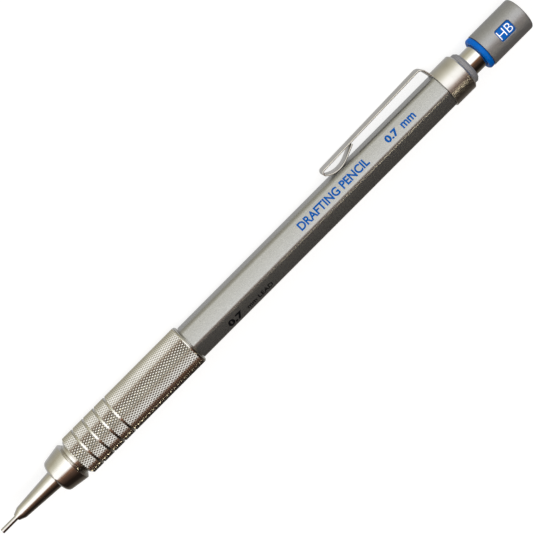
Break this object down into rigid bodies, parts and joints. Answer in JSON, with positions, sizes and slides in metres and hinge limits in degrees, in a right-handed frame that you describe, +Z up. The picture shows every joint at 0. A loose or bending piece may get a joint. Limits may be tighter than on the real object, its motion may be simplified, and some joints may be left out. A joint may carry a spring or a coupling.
{
  "type": "mechanical pencil",
  "caption": "Drafting pencil with knurled metal grip, six-sided silver barrel, spring clip, push cap with a lead-grade window, and a working jaw chuck inside.",
  "frame": {"origin": "middle of the pencil's box, on the surface that it lies on", "axes": "+X along the pencil towards its point, +Z up; it lies on its grip and on one edge of the clip, and the clip is on the -Y side, 29 degrees below level"},
  "size_m": [0.1468, 0.0114, 0.0093],
  "materials": {
    "sleeve_steel": "polished stainless steel",
    "tip_chrome": "satin chrome plating on turned brass",
    "grip_nickel": "satin nickel plating over a diamond knurl",
    "barrel_silver": "metallic silver lacquer on moulded plastic",
    "clip_steel": "satin chrome plating on pressed sheet steel",
    "bushing_grey": "moulded grey plastic",
    "tube_chrome": "bright chrome plating on drawn tube",
    "indicator_blue": "moulded blue plastic",
    "cap_silver": "satin silver lacquer on moulded plastic",
    "chuck_brass": "turned brass",
    "spring_steel": "drawn spring wire",
    "lead_graphite": "fired graphite lead",
    "retainer_rubber": "moulded rubber",
    "tank_plastic": "extruded natural polypropylene",
    "connector_white": "moulded acetal",
    "eraser_vinyl": "extruded white vinyl eraser"
  },
  "bodies": {
    "barrel": {"hex_barrel": "barrel_silver", "knurled_grip": "grip_nickel", "front_insert": "chuck_brass", "chuck_housing": "chuck_brass", "return_spring": "spring_steel", "rear_bushing": "bushing_grey", "clip_ring": "clip_steel"},
    "clip": {"clip_arm": "clip_steel"},
    "tip_carriage": {"lead_retainer": "retainer_rubber"},
    "tip": {"tip_cone": "tip_chrome", "lead_sleeve": "sleeve_steel"},
    "plunger": {"chuck_stem": "chuck_brass", "tank_connector": "connector_white", "lead_tank": "tank_plastic", "spare_leads": "lead_graphite", "push_tube": "tube_chrome"},
    "clutch": {"chuck_ring": "chuck_brass"},
    "jaw_1": {"chuck_jaw_1": "chuck_brass"},
    "jaw_2": {"chuck_jaw_2": "chuck_brass"},
    "jaw_3": {"chuck_jaw_3": "chuck_brass"},
    "lead": {"lead": "lead_graphite"},
    "cap": {"cap": "cap_silver", "cap_liner": "cap_silver"},
    "indicator": {"grade_indicator": "indicator_blue"},
    "eraser": {"eraser": "eraser_vinyl"}
  },
  "joints": [
    {"name": "push_button", "type": "slide", "parent": "barrel", "child": "plunger", "axis": [1, 0, 0], "range_m": [0, 0.0022], "stiffness_N_per_m": 700, "springref_m": -0.0043, "deforming": ["return_spring"]},
    {"name": "chuck_ring_slide", "type": "slide", "parent": "barrel", "child": "clutch", "axis": [1, 0, 0], "range_m": [0, 0.0007]},
    {"name": "jaw_1_flex", "type": "hinge", "parent": "plunger", "child": "jaw_1", "pos_m": [0.0486, 0.00035, 0.00509], "axis": [0, -0.5153, -0.857], "range_deg": [0, 1.6]},
    {"name": "jaw_2_flex", "type": "hinge", "parent": "plunger", "child": "jaw_2", "pos_m": [0.0486, 0.00173, 0.00506], "axis": [0, -0.4845, 0.8748], "range_deg": [0, 1.6]},
    {"name": "jaw_3_flex", "type": "hinge", "parent": "plunger", "child": "jaw_3", "pos_m": [0.0486, 0.00102, 0.00388], "axis": [0, 0.9998, -0.0178], "range_deg": [0, 1.6]},
    {"name": "lead_feed", "type": "slide", "parent": "clutch", "child": "lead", "axis": [1, 0, 0], "range_m": [0, 0.008]},
    {"name": "tip_travel", "type": "slide", "parent": "barrel", "child": "tip_carriage", "axis": [1, 0, 0], "range_m": [0, 0.0045]},
    {"name": "tip_turn", "type": "hinge", "parent": "tip_carriage", "child": "tip", "pos_m": [0.0634, 0.00103, 0.00468], "axis": [1, 0, 0], "range_deg": [0, 2180]},
    {"name": "clip_flex", "type": "hinge", "parent": "barrel", "child": "clip", "pos_m": [-0.04987, -0.0048, 0.00144], "axis": [0, 0.4845, -0.8748], "range_deg": [0, 5], "stiffness_Nm_per_rad": 1.35, "springref_deg": -0.57},
    {"name": "cap_pull", "type": "slide", "parent": "plunger", "child": "cap", "axis": [-1, 0, 0], "range_m": [0, 0.018]},
    {"name": "indicator_turn", "type": "hinge", "parent": "cap", "child": "indicator", "pos_m": [-0.0666, 0.00103, 0.00468], "axis": [1, 0, 0], "continuous": true},
    {"name": "eraser_pull", "type": "slide", "parent": "plunger", "child": "eraser", "axis": [-1, 0, 0], "range_m": [0, 0.0095]}
  ],
  "couplings": [
    {"joint": "chuck_ring_slide", "follows": "push_button", "ratio": 0.3},
    {"joint": "jaw_1_flex", "follows": "push_button", "rad_per_m": 11.9},
    {"joint": "jaw_2_flex", "follows": "push_button", "rad_per_m": 11.9},
    {"joint": "jaw_3_flex", "follows": "push_button", "rad_per_m": 11.9},
    {"joint": "tip_turn", "follows": "tip_travel", "rad_per_m": 8377.6},
    {"joint": "eraser_pull", "follows": "cap_pull", "ratio": 0.5}
  ]
}
